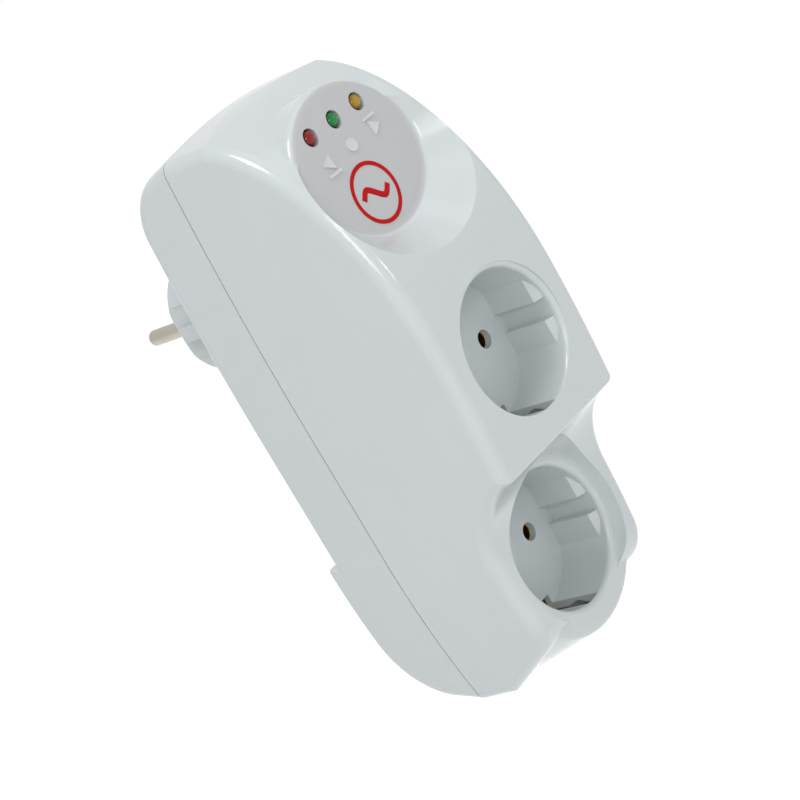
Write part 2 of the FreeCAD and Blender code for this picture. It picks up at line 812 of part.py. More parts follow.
def make_plug_pin(side):
    """Turned pin with a collar behind the plug's face and a thin tail for the wire."""
    x = side * pin_offset
    inner_y = plug_depth - plug_face
    shank = cylinder(pin_diameter / 2, plug_depth + pin_length - inner_y, V(x, inner_y, 0))
    tip = [e for e in shank.Edges if e.BoundBox.YMin > plug_depth + pin_length - 0.01]
    shank = shank.makeFillet(pin_tip_round, tip)
    collar_y = inner_y - pin_collar_thickness
    root = cylinder(pin_root_diameter / 2, plug_face + pin_root_proud, V(x, inner_y, 0))
    ring = cylinder(pin_collar_diameter / 2, pin_collar_thickness, V(x, collar_y, 0))
    tail = cylinder(pin_tail_diameter / 2, collar_y - pin_tail_end, V(x, pin_tail_end, 0))
    return join([shank, root, ring, tail])


def retainer_rear():
    return plug_depth - plug_face - pin_collar_thickness - retainer_thickness


def make_pin_retainer():
    """Plate that clamps the pins' collars against the plug's face."""
    rear_y = retainer_rear()
    plate = cylinder(retainer_radius, retainer_thickness, V(0, rear_y, 0))
    for side in (1, -1):
        plate = plate.cut(cylinder(pin_tail_diameter / 2, retainer_thickness, V(side * pin_offset, rear_y, 0)))
        plate = plate.cut(cylinder(retainer_screw_diameter / 2 + screw_clearance, retainer_thickness,
                                   V(0, rear_y, side * retainer_screw_z)))
    return plate


def make_retainer_screws():
    screws = []
    for side in (1, -1):
        screw = make_screw(retainer_screw_diameter, retainer_screw_length, retainer_screw_head,
                           retainer_screw_head_height, V(0, 0, 0))
        screw.rotate(V(0, 0, 0), Z_AXIS, 180)
        screw.translate(V(0, retainer_rear(), side * retainer_screw_z))
        screws.append(screw)
    return screws


def make_plug_earth_strap():
    """Strap inside the rear wall with a contact leg in each groove of the plug."""
    half = earth_strip_width / 2
    outer = earth_seat + strip
    front = rear_wall_y - strip
    strap = block(-half, half, front, rear_wall_y, -outer, outer)
    for side in (1, -1):
        low, high = sorted((side * earth_seat, side * outer))
        strap = strap.fuse(block(-half, half, front, earth_leg_end, low, high))
    strap = strap.removeSplitter()
    ends = [e for e in strap.Edges if e.BoundBox.YMin > earth_leg_end - 0.01 and e.BoundBox.XLength < 0.01]
    return strap.makeFillet(earth_leg_round, ends)


def make_carrier(floor_y, centre_z):
    """Insulating block behind a well that holds the two contact sleeves."""
    carrier = block(-carrier_half_width, carrier_half_width, floor_y, floor_y + carrier_depth,
                    centre_z - carrier_half_height, centre_z + carrier_half_height)
    carrier = carrier.makeFillet(carrier_round, [e for e in carrier.Edges if e.BoundBox.YLength > 1])
    half = earth_strip_width / 2
    carrier = carrier.cut(block(-half, half, floor_y, floor_y + strip, centre_z - 20, centre_z + 20))
    for side in (1, -1):
        carrier = carrier.cut(cylinder(sleeve_outer, carrier_depth, V(side * pin_offset, floor_y, centre_z)))
        boss = V(side * carrier_screw_x, floor_y, centre_z)
        carrier = carrier.cut(cylinder(carrier_boss_radius + carrier_clearance, carrier_boss_length, boss))
        carrier = carrier.cut(cylinder(carrier_screw_diameter / 2 + screw_clearance, carrier_depth, boss))
    return carrier


def make_carrier_screws():
    screws = []
    for floor_y, centre_z in ((upper_floor, upper_z), (lower_floor, lower_z)):
        for side in (1, -1):
            seat = V(side * carrier_screw_x, floor_y + carrier_depth, centre_z)
            screws.append(make_screw(carrier_screw_diameter, carrier_screw_length, carrier_screw_head,
                                     carrier_screw_head_height, seat))
    return screws


def make_sleeve(side, floor_y, centre_z):
    """Slit contact sleeve that grips one plug pin."""
    base = V(side * pin_offset, floor_y, centre_z)
    sleeve = tube(sleeve_outer, sleeve_inner, carrier_depth, base)
    slit = block(base.x - sleeve_slit / 2, base.x + sleeve_slit / 2, floor_y,
                 floor_y + carrier_depth * 0.75, centre_z, centre_z + sleeve_outer + 1)
    return sleeve.cut(slit)


def rounded_path(points, radius):
    """Polyline with its corners replaced by tangent arcs."""
    edges = []
    start = points[0]
    for before, corner, after in zip(points, points[1:], points[2:]):
        a, middle, b = corner_arc(before, corner, after, radius)
        edges.append(line_edge(start, a))
        edges.append(arc_edge(a, middle, b))
        start = b
    edges.append(line_edge(start, points[-1]))
    return Part.Wire(edges)


def bent_strip(points, width, thickness, radius):
    """Sheet-metal strip along a path in the YZ plane; its width lies along X."""
    along = (points[1] - points[0]).normalize()
    across = X_AXIS.cross(along) * (thickness / 2)
    side = X_AXIS * (width / 2)
    first = points[0]
    corners = [first + side + across, first - side + across, first - side - across, first + side - across]
    profile = Part.makePolygon(corners + corners[:1])
    return rounded_path(points, radius).makePipeShell([profile], True, False)


def make_bus(side):
    """Strip that joins the two sleeves on one side."""
    x = side * pin_offset
    upper_y = upper_floor + carrier_depth + strip / 2
    lower_strip_y = lower_floor + carrier_depth + strip / 2
    points = [V(x, upper_y, upper_z + bus_overlap), V(x, upper_y, bus_drop_z),
              V(x, lower_strip_y, bus_drop_z), V(x, lower_strip_y, lower_z - bus_overlap)]
    return bent_strip(points, bus_width, strip, strip_bend)


def make_earth_rail():
    """Strip behind both sockets that joins all four earth clips."""
    upper_y = upper_floor + strip / 2
    lower_strip_y = lower_floor + strip / 2
    points = [V(0, upper_y, upper_z + earth_slot_outer), V(0, upper_y, bus_drop_z),
              V(0, lower_strip_y, bus_drop_z), V(0, lower_strip_y, lower_z - earth_slot_outer)]
    return bent_strip(points, earth_strip_width, strip, strip_bend)


def make_earth_clips():
    """Spring legs in the earth slots, each with a bump towards the socket's axis."""
    clips = []
    for face_y, centre_z in sockets:
        foot_y = face_y + well_depth + well_floor
        tip_y = face_y + earth_clip_top
        span = foot_y - tip_y
        for side in (1, -1):
            far = centre_z + side * earth_leg
            near = centre_z + side * (earth_leg - earth_bump)
            points = [V(0, foot_y, far), V(0, foot_y - span * 0.45, far), V(0, foot_y - span * 0.65, near),
                      V(0, foot_y - span * 0.85, far), V(0, tip_y, far)]
            clips.append(bent_strip(points, earth_strip_width, strip, strip_bend))
    return clips


def make_circuit_board():
    board = block(-board_half_width, board_half_width, board_y, board_rear, board_bottom, board_top)
    board = board.makeFillet(board_corner, [e for e in board.Edges if e.BoundBox.YLength > 1])
    for x, z in board_screw_places():
        board = board.cut(cylinder(board_screw_diameter / 2 + screw_clearance, board_thickness, V(x, board_y, z)))
    for name, x in lamp_places():
        for side in (1, -1):
            hole = V(x + side * lamp_lead_pitch / 2, board_y, led_row_height)
            board = board.cut(cylinder(lamp_lead * 0.75, board_thickness, hole))
    for x, z in terminal_places:
        board = board.cut(cylinder(terminal_radius, board_thickness, V(x, board_y, z)))
    return board


def make_board_screws():
    return [make_screw(board_screw_diameter, board_screw_length, board_screw_head, board_screw_head_height,
                       V(x, board_rear, z)) for x, z in board_screw_places()]


def lamp_tip():
    return panel_depth(led_row_height) - lamp_proud


def make_lamp(x):
    """Round lamp with a domed end and a flange at its foot."""
    radius = lamp_diameter / 2
    tip_y = lamp_tip()
    body = cylinder(radius, lamp_length - radius, V(x, tip_y + radius, led_row_height))
    dome = Part.makeSphere(radius, V(x, tip_y + radius, led_row_height))
    flange = cylinder(lamp_flange_diameter / 2, lamp_flange_thickness,
                      V(x, tip_y + lamp_length - lamp_flange_thickness, led_row_height))
    return join([body, dome, flange])


def make_lamp_leads():
    leads = []
    half = lamp_lead / 2
    foot_y = lamp_tip() + lamp_length
    for name, x in lamp_places():
        for side in (1, -1):
            centre = x + side * lamp_lead_pitch / 2
            leads.append(block(centre - half, centre + half, foot_y, board_rear + 0.8,
                               led_row_height - half, led_row_height + half))
    return leads


def relay_y(height):
    """Depth of a point at the given height above the relay's coil axis."""
    return board_rear + coil_axis + height


def make_relay_base():
    base = block(-relay_half_width, relay_half_width, board_rear, board_rear + relay_base_thickness,
                 relay_bottom, relay_top)
    for x, z in terminal_places:
        base = base.cut(cylinder(terminal_radius, relay_base_thickness, V(x, board_rear, z)))
    return base


def make_relay_cover():
    floor_y = board_rear + relay_base_thickness
    top_y = board_rear + relay_height
    cover = block(-relay_half_width, relay_half_width, floor_y, top_y, relay_bottom, relay_top)
    cover = cover.makeFillet(1.0, [e for e in cover.Edges if e.BoundBox.YMin > top_y - 0.01
                                   or e.BoundBox.YLength > 1])
    room = block(-relay_half_width + relay_wall, relay_half_width - relay_wall, floor_y,
                 top_y - relay_wall, relay_bottom + relay_wall, relay_top - relay_wall)
    return cover.cut(room)


def along_coil(radius, x0, x1):
    return cylinder(radius, x1 - x0, V(x0, relay_y(0), relay_axis_z), X_AXIS)


def make_relay_bobbin():
    bobbin = along_coil(bobbin_tube_radius, bobbin_start, bobbin_end)
    bobbin = bobbin.fuse(along_coil(bobbin_flange_radius, bobbin_start, bobbin_start + bobbin_flange))
    bobbin = bobbin.fuse(along_coil(bobbin_flange_radius, bobbin_end - bobbin_flange, bobbin_end))
    return bobbin.cut(along_coil(core_radius, bobbin_start, bobbin_end)).removeSplitter()


def make_relay_coil():
    start = bobbin_start + bobbin_flange
    end = bobbin_end - bobbin_flange
    return along_coil(coil_radius, start, end).cut(along_coil(bobbin_tube_radius, start, end))


def make_relay_core():
    core = along_coil(core_radius, bobbin_start - yoke_thickness, pole_face_x)
    return core.fuse(along_coil(pole_radius, pole_face_x - pole_thickness, pole_face_x)).removeSplitter()


def make_relay_yoke():
    back_x = bobbin_start - yoke_thickness
    foot_y = board_rear + relay_base_thickness
    z0 = relay_axis_z - yoke_half_width
    z1 = relay_axis_z + yoke_half_width
    back = block(back_x, bobbin_start, foot_y, relay_y(yoke_leg + yoke_thickness), z0, z1)
    leg = block(back_x, armature_x - pivot_clearance, relay_y(yoke_leg),
                relay_y(yoke_leg + yoke_thickness), z0, z1)
    yoke = back.fuse(leg).removeSplitter()
    for x, z in terminal_places:
        yoke = yoke.cut(cylinder(terminal_radius, 2, V(x, foot_y - 1, z)))
    yoke = yoke.cut(pivot_bead(pivot_radius + pivot_clearance))
    return yoke.cut(along_coil(core_radius, back_x, bobbin_start))


def pivot_bead(radius):
    """Round bead along the armature's turning line."""
    return cylinder(radius, 2 * yoke_half_width,
                    V(armature_x, relay_y(yoke_leg), relay_axis_z - yoke_half_width), Z_AXIS)


def make_relay_armature():
    armature = block(armature_x, armature_x + armature_thickness, relay_y(armature_end),
                     relay_y(yoke_leg + yoke_thickness - 0.2), relay_axis_z - yoke_half_width,
                     relay_axis_z + yoke_half_width)
    ends = [e for e in armature.Edges if e.BoundBox.YMax < relay_y(armature_end) + 0.01
            and e.BoundBox.XLength > 1]
    return armature.makeFillet(armature_round, ends).fuse(pivot_bead(pivot_radius)).removeSplitter()


def make_relay_blade():
    """Contact spring on the armature with its button."""
    x = armature_x + armature_thickness
    blade = block(x, x + blade_thickness, relay_y(blade_end), relay_y(blade_top),
                  relay_axis_z - blade_half_width, relay_axis_z + blade_half_width)
    button = cylinder(contact_radius, contact_thickness, V(x, relay_y(contact_height), relay_axis_z), -X_AXIS)
    return blade.fuse(button).removeSplitter()


def contact_post(face_x, direction):
    """Fixed strip standing on the relay base with a button whose face is at face_x."""
    foot_y = board_rear + relay_base_thickness
    back = face_x + direction * contact_thickness
    low, high = sorted((back, back + direction * post_strip))
    post = block(low, high, foot_y, relay_y(contact_height + contact_radius + 0.3),
                 relay_axis_z - post_half_width, relay_axis_z + post_half_width)
    button = cylinder(contact_radius, contact_thickness, V(face_x, relay_y(contact_height), relay_axis_z),
                      X_AXIS * direction)
    return post.fuse(button).removeSplitter()


def make_relay_leaf_spring():
    """Bent leaf on the yoke that presses the armature back."""
    top_y = relay_y(yoke_leg + yoke_thickness)
    outer_x = armature_x + armature_thickness + leaf_gap
    z0 = relay_axis_z - leaf_half_width
    z1 = relay_axis_z + leaf_half_width
    flat = block(leaf_start, outer_x + leaf_thickness, top_y, top_y + leaf_thickness, z0, z1)
    down = block(outer_x, outer_x + leaf_thickness, top_y - leaf_drop, top_y + leaf_thickness, z0, z1)
    return flat.fuse(down).removeSplitter()


def make_relay_terminals():
    return [cylinder(terminal_radius, relay_base_thickness + board_thickness + terminal_proud,
                     V(x, board_y - terminal_proud, z)) for x, z in terminal_places]


def fuse_axis(radius, x0, x1):
    return cylinder(radius, x1 - x0, V(x0, board_rear + fuse_height, fuse_z), X_AXIS)


def make_fuse_tube():
    start = fuse_x - fuse_length / 2
    end = fuse_x + fuse_length / 2
    return fuse_axis(fuse_glass_radius, start + 0.5, end - 0.5).cut(
        fuse_axis(fuse_glass_radius - fuse_wall, start + 0.5, end - 0.5))


def make_fuse_caps():
    caps = []
    for side in (1, -1):
        outer = fuse_x + side * fuse_length / 2
        inner = outer - side * fuse_cap_length
        low, high = sorted((outer, inner))
        cap = fuse_axis(fuse_cap_radius, low, high)
        low, high = sorted((outer - side * 0.5, inner))
        caps.append(cap.cut(fuse_axis(fuse_glass_radius, low, high)))
    return caps


def make_fuse_clips():
    clips = []
    for side in (1, -1):
        centre = fuse_x + side * (fuse_length - fuse_cap_length) / 2
        low = centre - fuse_clip_width / 2
        clip = block(low, low + fuse_clip_width, board_rear, board_rear + fuse_clip_height,
                     fuse_z - fuse_clip_half, fuse_z + fuse_clip_half)
        clip = clip.cut(fuse_axis(fuse_cap_radius, low, low + fuse_clip_width))
        opening = block(low, low + fuse_clip_width, board_rear + fuse_height, board_rear + 10,
                        fuse_z - fuse_cap_radius * 0.8, fuse_z + fuse_cap_radius * 0.8)
        clips.append(max(clip.cut(opening).Solids, key=lambda s: s.Volume))
    return clips


def make_film_capacitor():
    x0, x1, z0, z1, height = film_box
    body = block(x0, x1, board_y - height, board_y, z0, z1)
    return body.makeFillet(0.8, [e for e in body.Edges if e.BoundBox.YMin < board_y - 0.1])


def make_electrolytic_capacitor():
    x, z = electrolytic_place
    can = cylinder(electrolytic_radius, electrolytic_length, V(x, board_y, z), -Y_AXIS)
    far = [e for e in can.Edges if e.BoundBox.YMax < board_y - electrolytic_length + 0.01]
    can = can.makeFillet(0.8, far)
    groove_y = board_y - 2.2
    groove = tube(electrolytic_radius + 1, electrolytic_radius - 0.5, 0.8, V(x, groove_y, z))
    return can.cut(groove)


def make_varistor():
    x, z = varistor_place
    centre_y = board_y - varistor_lift - varistor_radius
    disc = cylinder(varistor_radius, varistor_thickness, V(x - varistor_thickness / 2, centre_y, z), X_AXIS)
    return disc.makeFillet(1.2, disc.Edges[:1] + disc.Edges[2:])


def axial_part(x, z, y, radius, length):
    body = cylinder(radius, length, V(x, y, z - length / 2), Z_AXIS)
    return body.makeFillet(radius * 0.3, [e for e in body.Edges if e.BoundBox.ZLength < 0.01])


def axial_leads(x, z, y, length, board_face):
    """Bent leads from both ends of an axial part down to the board."""
    leads = []
    for side in (1, -1):
        end = z + side * length / 2
        turn = end + side * axial_lead_reach
        points = [V(x, y, end), V(x, y, turn), V(x, board_face, turn)]
        path = rounded_path(points, 0.7)
        ring = Part.Wire(Part.makeCircle(axial_lead_radius, points[0], Z_AXIS))
        leads.append(path.makePipeShell([ring], True, False))
    return leads


def diode_centre_y():
    return board_rear + diode_radius + 0.3


def resistor_centre_y():
    return board_y - resistor_radius - 0.3


def make_diodes():
    return [axial_part(side * diode_x, z, diode_centre_y(), diode_radius, diode_length)
            for side in (1, -1) for z in diode_places]


def make_resistors():
    return [axial_part(x, resistor_z, resistor_centre_y(), resistor_radius, resistor_length)
            for x in resistor_places]


def make_regulator():
    x, z = regulator_place
    body = cylinder(regulator_radius, regulator_height, V(x, board_y - regulator_lift, z), -Y_AXIS)
    return body.cut(block(x - 5, x + 5, board_y - 20, board_y, z - 5, z - regulator_radius * 0.55))


def make_controller_chip():
    x, z = chip_place
    rear_y = board_y - chip_lift
    body = block(x - chip_half_width, x + chip_half_width, rear_y - chip_thickness, rear_y,
                 z - chip_half_length, z + chip_half_length)
    notch = cylinder(0.8, 0.5, V(x, rear_y - chip_thickness, z + chip_half_length))
    return body.cut(notch)


def chip_pins():
    x, z = chip_place
    middle_y = board_y - chip_lift - chip_thickness / 2
    pins = []
    for side in (1, -1):
        for row in range(4):
            pin_z = z + (row - 1.5) * chip_pin_pitch
            low, high = sorted((x + side * chip_half_width, x + side * chip_pin_reach))
            pin = block(low, high, middle_y - 0.2, middle_y + 0.2, pin_z - 0.6, pin_z + 0.6)
            low, high = sorted((x + side * chip_pin_reach, x + side * (chip_pin_reach - 0.4)))
            pins.append(pin.fuse(block(low, high, middle_y - 0.2, board_y, pin_z - 0.4, pin_z + 0.4))
                        .removeSplitter())
    return pins


def make_component_leads():
    leads = chip_pins()
    for side in (1, -1):
        for z in diode_places:
            leads += axial_leads(side * diode_x, z, diode_centre_y(), diode_length, board_rear)
    for x in resistor_places:
        leads += axial_leads(x, resistor_z, resistor_centre_y(), resistor_length, board_y)
    x, z = varistor_place
    reach = varistor_radius * 0.5
    height = math.sqrt(varistor_radius ** 2 - reach ** 2)
    for side in (1, -1):
        centre_y = board_y - varistor_lift - varistor_radius
        stem = cylinder(0.4, varistor_lift + varistor_radius, V(x, centre_y, z + side * reach))
        leads.append(stem.cut(make_varistor()))
    x, z = regulator_place
    for offset in (-1.27, 0, 1.27):
        leads.append(cylinder(0.25, regulator_lift, V(x + offset, board_y - regulator_lift, z)))
    return leads


def wire_routes():
    """Centre lines of the wires, each from one bare end to the other."""
    routes = {}
    for name, side in (("wire_live_in", 1), ("wire_neutral_in", -1)):
        routes[name] = [V(side * pin_offset, pin_tail_end, 0), V(side * pin_offset, wire_lead_in, 0),
                        V(side * wire_in_x, wire_lead_in, 0), V(side * wire_in_x, board_rear, 0)]
    bus_rear = upper_floor + carrier_depth + strip
    wire_out_y = max(board_rear, bus_rear) + wire_out_lift
    for name, side in (("wire_live_out", 1), ("wire_neutral_out", -1)):
        x = side * pin_offset
        routes[name] = [V(x, board_rear, wire_out_z), V(x, wire_out_y, wire_out_z),
                        V(x, wire_out_y, wire_out_end), V(x, bus_rear, wire_out_end)]
    rail_top = bus_drop_z + strip / 2
    earth_wire_y = lower_floor - earth_wire_inset
    strap_front = rear_wall_y - strip
    routes["wire_earth"] = [V(0, strap_front, earth_wire_start), V(0, wire_lead_in, earth_wire_start),
                            V(0, wire_lead_in, earth_wire_z), V(0, earth_wire_y, earth_wire_z),
                            V(0, earth_wire_y, rail_top)]
    return routes


def sweep_round(points, radius):
    path = rounded_path(points, wire_bend)
    ring = Part.Wire(Part.makeCircle(radius, points[0], points[1] - points[0]))
    return path.makePipeShell([ring], True, False)


def bared(points):
    """The same route with the bare length taken off both ends."""
    first = points[0] + (points[1] - points[0]).normalize() * wire_bare
    last = points[-1] + (points[-2] - points[-1]).normalize() * wire_bare
    return [first] + points[1:-1] + [last]


def make_wire_jacket(points):
    short = bared(points)
    return sweep_round(short, wire_radius).cut(sweep_round(points, wire_core_radius))


def main():
    outer = outer_form()
    hollow = hollow_form()
    save("front_shell", make_front_shell(outer, hollow))
    save("rear_shell", make_rear_shell(outer, hollow))
    save("case_screws", Part.makeCompound(make_case_screws()))
    save("plug_pin_right", make_plug_pin(1))
    save("plug_pin_left", make_plug_pin(-1))
    save("pin_retainer", make_pin_retainer())
    save("retainer_screws", Part.makeCompound(make_retainer_screws()))
    save("plug_earth_strap", make_plug_earth_strap())
    save("upper_contact_carrier", make_carrier(upper_floor, upper_z))
    save("lower_contact_carrier", make_carrier(lower_floor, lower_z))
    save("carrier_screws", Part.makeCompound(make_carrier_screws()))
    for level, floor_y, centre_z in (("upper", upper_floor, upper_z), ("lower", lower_floor, lower_z)):
        save(level + "_contact_right", make_sleeve(1, floor_y, centre_z))
        save(level + "_contact_left", make_sleeve(-1, floor_y, centre_z))
    save("live_bus", make_bus(1))
    save("neutral_bus", make_bus(-1))
    save("earth_rail", make_earth_rail())
    save("earth_clips", Part.makeCompound(make_earth_clips()))
    save("circuit_board", make_circuit_board())
    save("board_screws", Part.makeCompound(make_board_screws()))
    for name, x in lamp_places():
        save(name, make_lamp(x))
    save("lamp_leads", Part.makeCompound(make_lamp_leads()))
    save("relay_base", make_relay_base())
    save("relay_cover", make_relay_cover())
    save("relay_bobbin", make_relay_bobbin())
    save("relay_coil", make_relay_coil())
    save("relay_core", make_relay_core())
    save("relay_yoke", make_relay_yoke())
    save("relay_armature", make_relay_armature())
    save("relay_blade", make_relay_blade())
    button_face = armature_x + armature_thickness - contact_thickness
    save("relay_fixed_contact", contact_post(button_face - contact_gap, -1))
    save("relay_rest_stop", contact_post(armature_x + armature_thickness + blade_thickness + stop_gap, 1))
    save("relay_leaf_spring", make_relay_leaf_spring())
    save("relay_terminals", Part.makeCompound(make_relay_terminals()))
    save("fuse_tube", make_fuse_tube())
    save("fuse_caps", Part.makeCompound(make_fuse_caps()))
    save("fuse_clips", Part.makeCompound(make_fuse_clips()))
    save("film_capacitor", make_film_capacitor())
    save("electrolytic_capacitor", make_electrolytic_capacitor())
    save("varistor", make_varistor())
    save("rectifier_diodes", Part.makeCompound(make_diodes()))
    save("resistors", Part.makeCompound(make_resistors()))
    save("regulator", make_regulator())
    save("controller_chip", make_controller_chip())
    save("component_leads", Part.makeCompound(make_component_leads()))
    cores = []
    for name, points in wire_routes().items():
        save(name, make_wire_jacket(points))
        cores.append(sweep_round(points, wire_core_radius))
    save("wire_cores", Part.makeCompound(cores))


main()
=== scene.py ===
import json
import math

import bpy
from mathutils import Matrix, Vector


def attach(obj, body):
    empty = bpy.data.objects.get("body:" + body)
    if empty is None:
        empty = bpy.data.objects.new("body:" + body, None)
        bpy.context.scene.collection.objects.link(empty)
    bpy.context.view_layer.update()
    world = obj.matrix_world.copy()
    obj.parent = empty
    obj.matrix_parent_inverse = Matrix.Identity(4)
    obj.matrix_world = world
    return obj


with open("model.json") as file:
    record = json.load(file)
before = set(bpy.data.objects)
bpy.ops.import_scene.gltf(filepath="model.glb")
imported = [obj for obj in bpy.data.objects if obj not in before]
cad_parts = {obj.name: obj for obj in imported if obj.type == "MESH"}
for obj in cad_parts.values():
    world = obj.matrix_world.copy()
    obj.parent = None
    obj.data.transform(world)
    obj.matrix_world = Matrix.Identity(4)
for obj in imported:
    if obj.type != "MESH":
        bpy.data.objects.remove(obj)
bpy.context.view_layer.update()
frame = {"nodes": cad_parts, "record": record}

# Plug-in voltage protector: X to the right seen from the front, Z up, Y from the front to the wall.
# Sizes below are in metres; MM turns the sizes of small things into them.

MM = 0.001

# Lamp panel
panel_centre = Vector((0, -61.8, 25.1)) * MM
panel_tilt = math.radians(6)
panel_half_width = 24.0 * MM
panel_half_height = 21.5 * MM
lamp_pitch = 11.2 * MM
lamp_height = 37.5 * MM        # of the lamps' centres, above the origin
lamp_radius = 2.5 * MM
painted_reflection_radius = 1.0 * MM           # radius of the painted bright middle, a painted reflection of the cup inside the lamp

# Red mark on the panel
mark_centre = (-2.4 * MM, -9.9 * MM)
mark_radius = 9.0 * MM
mark_ring = 1.2 * MM
mark_thickness = 0.12 * MM
mark_gap = 0.02 * MM           # between the print and the panel, so that they don't share a face
wave_reach = mark_radius * 0.62
wave_rise = mark_radius * 0.3
wave_flatness = 0.2            # thickness of the wave's line against its width
wave_line = mark_ring * 0.75   # half the width of the wave's line

# Raised signs below the lamps
sign_row = 4.2 * MM            # above the panel's centre
sign_width = 5.2 * MM
sign_bar = 0.9 * MM
sign_arrow = 2.6 * MM
sign_gap = 3.2 * MM            # from the row to the middle of a bar
sign_height = 0.45 * MM
sign_bevel = 0.2 * MM

# Camera at the photograph's viewing angle, with its focal length in pixels of a picture 800 pixels wide
picture_width = 800.0
focal_length = 2921.0
sensor_width = 36.0
camera_place = Vector((-0.5639, -0.5928, 0.1489))
camera_right = Vector((0.5255, -0.6932, -0.4933))
camera_up = Vector((0.5019, -0.2157, 0.8376))
camera_forward = Vector((0.6870, 0.6877, -0.2346))

# Studio: each soft box has a place, a size and a power in watts, and faces the middle of the case
floor_size = 6.0
floor_height = -0.24
floor_lift = 0.6               # light added to the floor where it is seen, so that it shows white
sky_strength = 0.53
case_middle = Vector((0, -0.04, -0.04))
soft_boxes = {
    "top_box": ((-0.42, -0.25, 0.95), 0.35, 3.9),
    "camera_box": ((-0.62, -0.8, 0.32), 0.35, 2.35),
    "small_box": ((0.45, -0.88, 0.15), 0.07, 0.3),
    "left_box": ((-0.9, -0.35, -0.2), 0.6, 0.4),
    "right_box": ((0.5, -0.4, 0.85), 0.6, 0.7),
}


# Camera
def make_camera():
    camera_data = bpy.data.cameras.new("camera")
    camera_data.sensor_width = sensor_width
    camera_data.lens = focal_length * sensor_width / picture_width
    camera_data.clip_start = 0.05
    camera = bpy.data.objects.new("camera", camera_data)
    bpy.context.scene.collection.objects.link(camera)
    turn = Matrix((camera_right, camera_up, -camera_forward)).transposed()
    camera.matrix_world = Matrix.Translation(camera_place) @ turn.to_4x4()
    bpy.context.scene.camera = camera


# Colour and node helpers
def linear(code):
    """An sRGB hex colour as linear RGBA."""
    channels = [int(code[i:i + 2], 16) / 255 for i in (1, 3, 5)]
    return tuple(c / 12.92 if c <= 0.04045 else ((c + 0.055) / 1.055) ** 2.4 for c in channels) + (1.0,)


def node(material, kind, sources=None, **settings):
    """Add a node with its settings; sources gives each socket a value or the output that feeds it."""
    made = material.node_tree.nodes.new(kind)
    for name, value in settings.items():
        setattr(made, name, value)
    for socket, source in (sources or {}).items():
        if isinstance(source, bpy.types.NodeSocket):
            material.node_tree.links.new(source, made.inputs[socket])
        else:
            made.inputs[socket].default_value = source
    return made


def new_material(name):
    """Empty material with its output, object coordinates and Principled shader."""
    material = bpy.data.materials.new(name)
    material.use_nodes = True
    material.node_tree.nodes.clear()
    shader = node(material, "ShaderNodeBsdfPrincipled")
    node(material, "ShaderNodeOutputMaterial", {"Surface": shader.outputs["BSDF"]})
    place = node(material, "ShaderNodeTexCoord").outputs["Object"]
    return material, shader, place


def feed(material, socket, source):
    material.node_tree.links.new(source, socket)


def mottle(material, place, grain, low, high, detail=3.0):
    """Soft cloudy change between two colours, at a grain size in millimetres."""
    cloud = node(material, "ShaderNodeTexNoise",
                 {"Vector": place, "Scale": 1 / (grain * MM), "Detail": detail})
    ramp = node(material, "ShaderNodeMix",
                {"Factor": cloud.outputs["Fac"], "A": linear(low), "B": linear(high)}, data_type="RGBA")
    return ramp.outputs[2]


def bump(material, shader, place, grain, height, strength=0.3, detail=2.0):
    """Fine surface relief, grain and height in millimetres."""
    relief = node(material, "ShaderNodeTexNoise",
                  {"Vector": place, "Scale": 1 / (grain * MM), "Detail": detail})
    lift = node(material, "ShaderNodeBump", {"Height": relief.outputs["Fac"], "Distance": height * MM,
                                             "Strength": strength})
    feed(material, shader.inputs["Normal"], lift.outputs["Normal"])


def rough(material, shader, place, grain, low, high):
    """Roughness that changes softly between two values."""
    cloud = node(material, "ShaderNodeTexNoise", {"Vector": place, "Scale": 1 / (grain * MM), "Detail": 4.0})
    spread = node(material, "ShaderNodeMapRange", {"Value": cloud.outputs["Fac"], "From Min": 0.3,
                                                   "From Max": 0.7, "To Min": low, "To Max": high})
    feed(material, shader.inputs["Roughness"], spread.outputs["Result"])


# Materials
def panel_patch(material, place):
    """1 on the face of the oval lamp panel and 0 elsewhere, with a soft edge."""
    centred = node(material, "ShaderNodeMapping", {"Vector": place, "Location": -panel_centre})
    parts = node(material, "ShaderNodeSeparateXYZ", {"Vector": centred.outputs["Vector"]})
    across = node(material, "ShaderNodeMath", {0: parts.outputs["X"], 1: panel_half_width},
                  operation="DIVIDE")
    upward = node(material, "ShaderNodeMath", {0: parts.outputs["Z"], 1: panel_half_height},
                  operation="DIVIDE")
    square_x = node(material, "ShaderNodeMath", {0: across.outputs[0], 1: 2.0}, operation="POWER")
    square_z = node(material, "ShaderNodeMath", {0: upward.outputs[0], 1: 2.0}, operation="POWER")
    away = node(material, "ShaderNodeMath", {0: square_x.outputs[0], 1: square_z.outputs[0]})
    inside = node(material, "ShaderNodeMapRange",
                  {"Value": away.outputs[0], "From Min": 1.02, "From Max": 0.97, "To Min": 0.0,
                   "To Max": 1.0})
    slope = node(material, "ShaderNodeMath", {0: parts.outputs["Z"], 1: math.tan(panel_tilt)},
                 operation="MULTIPLY")
    behind = node(material, "ShaderNodeMath", {0: parts.outputs["Y"], 1: slope.outputs[0]},
                  operation="SUBTRACT")
    depth = node(material, "ShaderNodeMath", {0: behind.outputs[0]}, operation="ABSOLUTE")
    shallow = node(material, "ShaderNodeMapRange", {"Value": depth.outputs[0], "From Min": 0.6 * MM,
                                                    "From Max": 0.3 * MM, "To Min": 0.0, "To Max": 1.0})
    both = node(material, "ShaderNodeMath", {0: inside.outputs[0], 1: shallow.outputs[0]},
                operation="MULTIPLY")
    return both.outputs[0]


